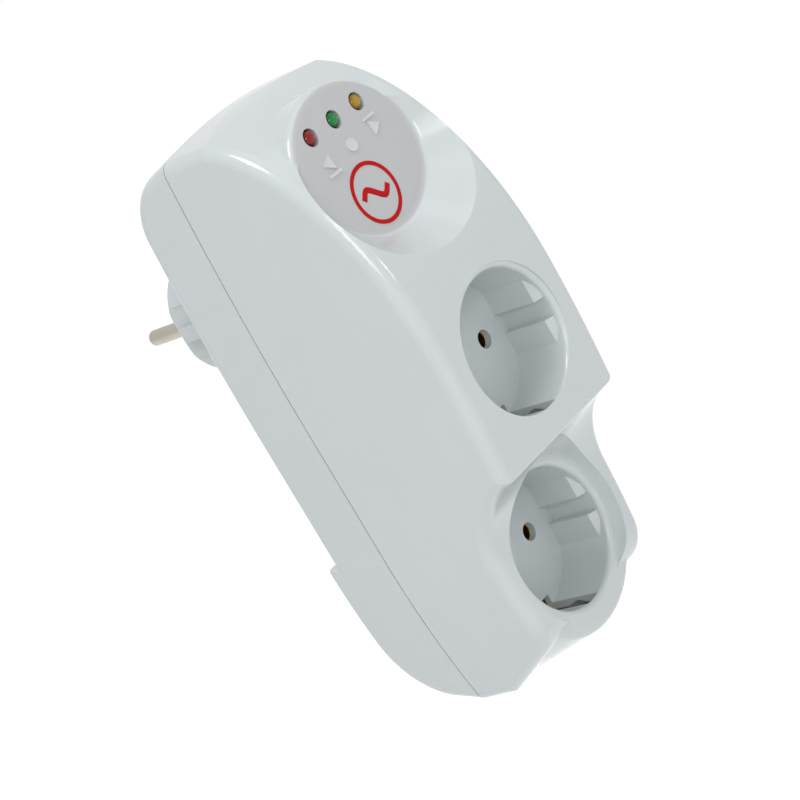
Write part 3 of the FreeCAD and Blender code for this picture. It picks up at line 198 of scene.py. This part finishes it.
def gloss_abs():
    """Injection-moulded ABS from a polished tool: bright even gloss with a faint orange peel.
    The oval lamp panel comes from a sparked patch of the tool, so it is satin and a shade greyer."""
    material, shader, place = new_material("gloss_abs_white")
    shader.inputs["IOR"].default_value = 1.53
    on_panel = panel_patch(material, place)
    body = mottle(material, place, 14.0, "#C9CFD0", "#CDD3D4")
    satin = mottle(material, place, 0.25, "#BBBCBD", "#BFC0C1")
    colour = node(material, "ShaderNodeMix", {"Factor": on_panel, "A": body, "B": satin}, data_type="RGBA")
    feed(material, shader.inputs["Base Color"], colour.outputs[2])
    gloss = node(material, "ShaderNodeMapRange", {"Value": on_panel, "To Min": 0.16, "To Max": 0.42})
    feed(material, shader.inputs["Roughness"], gloss.outputs["Result"])
    bump(material, shader, place, 1.6, 0.02, 0.12)
    return material


def plain_plastic(name, low, high, roughness, grain=2.0, relief=0.02):
    """Moulded plastic with a faint cloudiness and a fine surface grain."""
    material, shader, place = new_material(name)
    feed(material, shader.inputs["Base Color"], mottle(material, place, grain * 4, low, high))
    rough(material, shader, place, grain, roughness * 0.85, roughness * 1.15)
    bump(material, shader, place, grain * 0.4, relief, 0.3)
    return material


def plain_metal(name, low, high, roughness, grain=0.8, relief=0.01):
    """Drawn or plated metal: fine uneven sheen and a few duller clouds."""
    material, shader, place = new_material(name)
    shader.inputs["Metallic"].default_value = 1.0
    feed(material, shader.inputs["Base Color"], mottle(material, place, grain * 5, low, high))
    rough(material, shader, place, grain * 2, roughness * 0.75, roughness * 1.3)
    bump(material, shader, place, grain, relief, 0.3)
    return material


def turned_nickel():
    """Nickel-plated brass turned on a lathe: fine rings round each pin, warm grey sheen."""
    material, shader, place = new_material("turned_nickel_plate")
    shader.inputs["Metallic"].default_value = 1.0
    feed(material, shader.inputs["Base Color"], mottle(material, place, 3.0, "#A9A498", "#B8B3A8"))
    rings = node(material, "ShaderNodeTexWave", {"Vector": place, "Scale": 1 / (1.2 * MM), "Distortion": 0.6,
                                                 "Detail": 2.0}, bands_direction="Y")
    lift = node(material, "ShaderNodeBump", {"Height": rings.outputs["Fac"], "Distance": 0.01 * MM,
                                             "Strength": 0.25})
    feed(material, shader.inputs["Normal"], lift.outputs["Normal"])
    rough(material, shader, place, 2.0, 0.2, 0.34)
    return material


def tinted_epoxy(name, across, painted_shade_rim, painted_reflection_core):
    """Epoxy tinted through, at a place across the panel. A painted reflection makes the middle bright, as if
    the cup inside the lamp shone back through the dome. Painted shade makes it deep and dark towards its rim.
    The sharp highlight on top comes from the gloss and the lamps."""
    material, shader, place = new_material(name)
    shader.inputs["IOR"].default_value = 1.54
    shader.inputs["Roughness"].default_value = 0.05
    shader.inputs["Transmission Weight"].default_value = 0.25
    shader.inputs["Specular IOR Level"].default_value = 0.25
    # Painted shade darkens the epoxy towards the lamp's rim and a painted reflection brightens its middle, by
    # distance from the lamp's axis.
    lamp = node(material, "ShaderNodeMapping", {"Vector": place, "Location": (-across, 0, -lamp_height)})
    flat = node(material, "ShaderNodeVectorMath", {0: lamp.outputs[0], 1: (1, 0, 1)}, operation="MULTIPLY")
    away = node(material, "ShaderNodeVectorMath", {0: flat.outputs[0]}, operation="LENGTH")
    painted_shade_share = node(material, "ShaderNodeMapRange",
                 {"Value": away.outputs["Value"], "From Min": painted_reflection_radius, "From Max": lamp_radius,
                  "To Min": 0.0, "To Max": 1.0})
    colour = node(material, "ShaderNodeMix",
                  {"Factor": painted_shade_share.outputs[0], "A": linear(painted_reflection_core), "B": linear(painted_shade_rim)}, data_type="RGBA")
    feed(material, shader.inputs["Base Color"], colour.outputs[2])
    return material


def glass_fibre_board():
    """Green-lacquered epoxy board: the woven glass shows faintly through the lacquer."""
    material, shader, place = new_material("lacquered_glass_epoxy")
    weave_x = node(material, "ShaderNodeTexWave", {"Vector": place, "Scale": 1 / (0.7 * MM)},
                   bands_direction="X")
    weave_z = node(material, "ShaderNodeTexWave", {"Vector": place, "Scale": 1 / (0.7 * MM)},
                   bands_direction="Z")
    cloth = node(material, "ShaderNodeMath", {0: weave_x.outputs["Fac"], 1: weave_z.outputs["Fac"]},
                 operation="MULTIPLY")
    colour = node(material, "ShaderNodeMix", {"Factor": cloth.outputs[0], "A": linear("#1E4A26"),
                                              "B": linear("#2A5C30")}, data_type="RGBA")
    feed(material, shader.inputs["Base Color"], colour.outputs[2])
    rough(material, shader, place, 1.5, 0.25, 0.4)
    lift = node(material, "ShaderNodeBump",
                {"Height": cloth.outputs[0], "Distance": 0.02 * MM, "Strength": 0.3})
    feed(material, shader.inputs["Normal"], lift.outputs["Normal"])
    return material


def wound_wire():
    """Enamelled copper wire wound in close turns round the coil. Its colour is painted shade, darker in the
    grooves between turns, and painted sheen, lighter on their crests.
    """
    material, shader, place = new_material("enamelled_copper_wire")
    shader.inputs["Metallic"].default_value = 1.0
    turn_relief_and_painted_shade = node(material, "ShaderNodeTexWave", {"Vector": place, "Scale": 1 / (0.9 * MM), "Distortion": 0.3},
                 bands_direction="X")
    # Painted shade in the grooves between turns and painted sheen on their crests, following the same bands
    # as the relief.
    colour = node(material, "ShaderNodeMix", {"Factor": turn_relief_and_painted_shade.outputs["Fac"], "A": linear("#8A4A26"),
                                              "B": linear("#C87A45")}, data_type="RGBA")
    feed(material, shader.inputs["Base Color"], colour.outputs[2])
    lift = node(material, "ShaderNodeBump",
                {"Height": turn_relief_and_painted_shade.outputs["Fac"], "Distance": 0.1 * MM, "Strength": 0.5})
    feed(material, shader.inputs["Normal"], lift.outputs["Normal"])
    rough(material, shader, place, 1.0, 0.25, 0.4)
    return material


def striped_insulation():
    """Green PVC insulation with a yellow stripe along its length."""
    material, shader, place = new_material("green_yellow_pvc")
    parts = node(material, "ShaderNodeSeparateXYZ", {"Vector": place})
    side = node(material, "ShaderNodeMapRange", {"Value": parts.outputs["X"], "From Min": -0.2 * MM,
                                                 "From Max": 0.2 * MM})
    colour = node(material, "ShaderNodeMix", {"Factor": side.outputs[0], "A": linear("#1F7A33"),
                                              "B": linear("#D8C21E")}, data_type="RGBA")
    feed(material, shader.inputs["Base Color"], colour.outputs[2])
    rough(material, shader, place, 2.0, 0.3, 0.42)
    bump(material, shader, place, 0.8, 0.02)
    return material


def clear_glass():
    """Drawn glass tube of the fuse."""
    material, shader, place = new_material("drawn_glass")
    shader.inputs["IOR"].default_value = 1.47
    shader.inputs["Roughness"].default_value = 0.03
    shader.inputs["Transmission Weight"].default_value = 1.0
    feed(material, shader.inputs["Base Color"], mottle(material, place, 3.0, "#EEF4F2", "#F8FBFA"))
    return material


def printed_ink():
    """Red pad-printed ink: thin opaque film, nearly dull, a little uneven in tone."""
    material, shader, place = new_material("pad_printed_ink")
    feed(material, shader.inputs["Base Color"], mottle(material, place, 1.2, "#B40004", "#BE0208"))
    shader.inputs["Specular IOR Level"].default_value = 0.15
    rough(material, shader, place, 0.6, 0.36, 0.5)
    bump(material, shader, place, 0.3, 0.01, 0.4)
    return material


def dress_nodes():
    """Give every CAD node its finish."""
    finishes = {
        "case_plastic": gloss_abs(),
        "pin_metal": turned_nickel(),
        "screw_steel": plain_metal("zinc_plated_steel", "#9C9B96", "#B9B8B2", 0.35),
        "phenolic": plain_plastic("moulded_phenolic", "#C9C3AF", "#D6D0BE", 0.5, 1.2, 0.04),
        "contact_brass": plain_metal("stamped_brass", "#B08A45", "#C9A35C", 0.3),
        "board_laminate": glass_fibre_board(),
        # Lamp epoxies: a painted shade colour for the rim, then a painted reflection colour for the middle.
        "lamp_red": tinted_epoxy("ruby_epoxy", -lamp_pitch, "#480200", "#A80C08"),
        "lamp_green": tinted_epoxy("emerald_epoxy", 0, "#033C1A", "#0C9444"),
        "lamp_amber": tinted_epoxy("amber_epoxy", lamp_pitch, "#5E4402", "#C29A10"),
        "tinned_wire": plain_metal("tinned_copper", "#B5B6B4", "#CFD0CE", 0.25),
        "relay_blue": plain_plastic("blue_polycarbonate", "#1E3E8A", "#234596", 0.3),
        "relay_black": plain_plastic("black_glass_filled_nylon", "#1B1B1D", "#242427", 0.5, 1.0, 0.04),
        "coil_copper": wound_wire(),
        "relay_iron": plain_metal("zinc_plated_iron", "#8F8F8B", "#A8A8A3", 0.4),
        "fuse_glass": clear_glass(),
        "film_yellow": plain_plastic("yellow_polyester_case", "#C9921C", "#D79E26", 0.35),
        "can_sleeve": plain_plastic("dark_shrink_sleeve", "#151A26", "#1C2231", 0.25),
        "varistor_blue": plain_plastic("blue_dipped_epoxy", "#17397A", "#1D4288", 0.35, 1.0, 0.05),
        "black_epoxy": plain_plastic("moulded_black_epoxy", "#18181A", "#222224", 0.55, 0.8, 0.03),
        "resistor_tan": plain_plastic("tan_lacquer", "#A98A5C", "#BD9E6E", 0.35, 0.8, 0.03),
        "wire_brown": plain_plastic("brown_pvc", "#4A2A17", "#57331D", 0.35),
        "wire_blue": plain_plastic("blue_pvc", "#1C4E9A", "#2358A6", 0.35),
        "wire_green": striped_insulation(),
    }
    # The earth clips are real nickel-plated spring strips. Their colour is darkened below plain nickel as
    # painted shade for the slots they sit in.
    earth_spring_painted_shade = plain_metal("nickel_spring_strip_painted_shade", "#77777A", "#8C8C8E", 0.35)
    slots = {entry["node"]: entry["material_slot"] for entry in frame["record"]["subparts"]}
    for name, obj in frame["nodes"].items():
        obj.data.materials.clear()
        obj.data.materials.append(earth_spring_painted_shade if name == "earth_clips" else finishes[slots[name]])


# Modelling helpers
def fresh(add, **settings):
    """Deselect everything, add a primitive and return it."""
    bpy.ops.object.select_all(action="DESELECT")
    add(**settings)
    return bpy.context.object


def to_panel(obj):
    """Stand a piece modelled flat in XY, facing +Z, on the tilted lamp panel."""
    stand = Matrix.Rotation(-panel_tilt, 4, "X") @ Matrix.Rotation(math.pi / 2, 4, "X")
    obj.matrix_world = Matrix.Translation(panel_centre) @ stand @ obj.matrix_world
    bpy.ops.object.select_all(action="DESELECT")
    obj.select_set(True)
    bpy.context.view_layer.objects.active = obj
    bpy.ops.object.transform_apply(location=True, rotation=True, scale=True)


def finish_piece(obj, name, material):
    obj.name = name
    obj.data.name = name
    obj.data.materials.clear()
    obj.data.materials.append(material)
    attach(obj, "case")


# Red printed mark: a closed ring with one wave across it
def make_mark_ring(ink):
    ring = fresh(bpy.ops.mesh.primitive_circle_add, vertices=96, radius=mark_radius, fill_type="NGON",
                 location=(*mark_centre, mark_gap))
    bpy.ops.object.mode_set(mode="EDIT")
    bpy.ops.mesh.select_all(action="SELECT")
    bpy.ops.mesh.inset(thickness=mark_ring)
    bpy.ops.mesh.delete(type="FACE")
    bpy.ops.mesh.select_all(action="SELECT")
    bpy.ops.mesh.extrude_region_move(TRANSFORM_OT_translate={"value": (0, 0, mark_thickness)})
    bpy.ops.mesh.select_all(action="SELECT")
    bpy.ops.mesh.normals_make_consistent(inside=False)
    bpy.ops.object.mode_set(mode="OBJECT")
    to_panel(ring)
    finish_piece(ring, "mark_ring", ink)


def make_mark_wave(ink):
    wave = fresh(bpy.ops.curve.primitive_bezier_curve_add, location=(*mark_centre, mark_gap))
    spline = wave.data.splines[0]
    spline.bezier_points.add(1)
    places = ((-wave_reach, wave_rise), (0, -wave_rise), (wave_reach, wave_rise))
    for point, (x, lean) in zip(spline.bezier_points, places):
        point.co = (x, 0, 0)
        point.handle_left_type = "FREE"
        point.handle_right_type = "FREE"
        point.handle_left = (x - wave_reach * 0.5, -lean, 0)
        point.handle_right = (x + wave_reach * 0.5, lean, 0)
    wave.data.dimensions = "3D"
    wave.data.bevel_depth = wave_line
    wave.data.bevel_resolution = 3
    wave.data.resolution_u = 16
    wave.data.use_fill_caps = True
    bpy.ops.object.convert(target="MESH")
    wave = bpy.context.object
    bpy.ops.object.mode_set(mode="EDIT")
    bpy.ops.mesh.select_all(action="SELECT")
    bpy.ops.transform.resize(value=(1, 1, wave_flatness), center_override=(0, 0, mark_gap))
    bpy.ops.mesh.normals_make_consistent(inside=False)
    bpy.ops.object.mode_set(mode="OBJECT")
    to_panel(wave)
    finish_piece(wave, "mark_wave", ink)


# Raised marks below the lamps: a bar with a triangle over it, a round dot, a bar with a triangle under it
def raise_flat(obj, height, bevel):
    """Turn a flat face in XY into a raised mark with softened edges, standing on the panel."""
    bpy.ops.object.mode_set(mode="EDIT")
    bpy.ops.mesh.select_all(action="SELECT")
    bpy.ops.mesh.extrude_region_move(TRANSFORM_OT_translate={"value": (0, 0, height)})
    bpy.ops.mesh.inset(thickness=bevel, depth=-bevel * 0.5)
    bpy.ops.mesh.select_all(action="SELECT")
    bpy.ops.mesh.normals_make_consistent(inside=False)
    bpy.ops.object.mode_set(mode="OBJECT")


def make_disc_mark(name, place, radius, corners, turn, material):
    mark = fresh(bpy.ops.mesh.primitive_circle_add, vertices=corners, radius=radius, fill_type="NGON",
                 location=(place[0], place[1], 0), rotation=(0, 0, turn))
    raise_flat(mark, sign_height, sign_bevel)
    to_panel(mark)
    finish_piece(mark, name, material)


def make_bar_mark(name, place, material):
    mark = fresh(bpy.ops.mesh.primitive_plane_add, size=1, location=(place[0], place[1], 0))
    bpy.ops.object.mode_set(mode="EDIT")
    bpy.ops.mesh.select_all(action="SELECT")
    bpy.ops.transform.resize(value=(sign_width, sign_bar, 1), center_override=(place[0], place[1], 0))
    bpy.ops.object.mode_set(mode="OBJECT")
    raise_flat(mark, sign_height, sign_bevel)
    to_panel(mark)
    finish_piece(mark, name, material)


def make_signs(material):
    """One sign per lamp: over, normal and under voltage."""
    make_bar_mark("sign_over_bar", (-lamp_pitch, sign_row - sign_gap), material)
    make_disc_mark("sign_over_arrow", (-lamp_pitch, sign_row), sign_arrow, 3, math.pi / 2, material)
    make_disc_mark("sign_normal_dot", (0, sign_row), sign_arrow * 0.75, 32, 0, material)
    make_bar_mark("sign_under_bar", (lamp_pitch, sign_row + sign_gap), material)
    make_disc_mark("sign_under_arrow", (lamp_pitch, sign_row), sign_arrow, 3, -math.pi / 2, material)


# Floor, backdrop and light
def seen_as_white(material):
    """1 for rays that show the background itself, in the camera, in metal or through glass, else 0."""
    rays = node(material, "ShaderNodeLightPath")
    mirrored = node(material, "ShaderNodeMath",
                    {0: rays.outputs["Is Camera Ray"], 1: rays.outputs["Is Glossy Ray"]}, operation="MAXIMUM")
    seen = node(material, "ShaderNodeMath", {0: mirrored.outputs[0], 1: rays.outputs["Is Transmission Ray"]},
                operation="MAXIMUM")
    return seen.outputs[0]


def make_stage():
    """White floor that is lit like any surface and so keeps the object's soft shadow."""
    floor = fresh(bpy.ops.mesh.primitive_plane_add, size=floor_size, location=(0, 0, floor_height))
    floor.name = "floor"
    material = bpy.data.materials.new("white_studio_sweep")
    material.use_nodes = True
    material.node_tree.nodes.clear()
    paint = node(material, "ShaderNodeBsdfDiffuse", {"Color": linear("#F4F4F4")})
    lift = node(material, "ShaderNodeMath", {0: seen_as_white(material), 1: floor_lift}, operation="MULTIPLY")
    glow = node(material, "ShaderNodeEmission", {"Color": (1, 1, 1, 1), "Strength": lift.outputs[0]})
    both = node(material, "ShaderNodeAddShader", {0: paint.outputs[0], 1: glow.outputs[0]})
    node(material, "ShaderNodeOutputMaterial", {"Surface": both.outputs[0]})
    floor.data.materials.append(material)


def make_world():
    world = bpy.data.worlds.new("studio")
    world.use_nodes = True
    world.node_tree.nodes.clear()
    soft = node(world, "ShaderNodeBackground", {"Color": (0.985, 0.995, 1.0, 1), "Strength": sky_strength})
    white = node(world, "ShaderNodeBackground", {"Color": (1, 1, 1, 1), "Strength": 1.0})
    mix = node(world, "ShaderNodeMixShader",
               {0: seen_as_white(world), 1: soft.outputs[0], 2: white.outputs[0]})
    node(world, "ShaderNodeOutputWorld", {"Surface": mix.outputs[0]})
    bpy.context.scene.world = world


def make_light(name, place, size, power):
    """Square soft box at place, turned to face the middle of the case."""
    data = bpy.data.lights.new(name, "AREA")
    data.shape = "SQUARE"
    data.size = size
    data.energy = power
    light = bpy.data.objects.new(name, data)
    bpy.context.scene.collection.objects.link(light)
    light.location = place
    light.rotation_euler = (case_middle - Vector(place)).to_track_quat("-Z", "Y").to_euler()


def main():
    make_camera()
    dress_nodes()
    ink = printed_ink()
    make_mark_ring(ink)
    make_mark_wave(ink)
    make_signs(plain_plastic("polished_abs", "#CBCFD0", "#D1D5D6", 0.16))
    make_stage()
    make_world()
    for name, (place, size, power) in soft_boxes.items():
        make_light(name, place, size, power)
    bpy.context.scene.view_settings.view_transform = "Standard"


main()
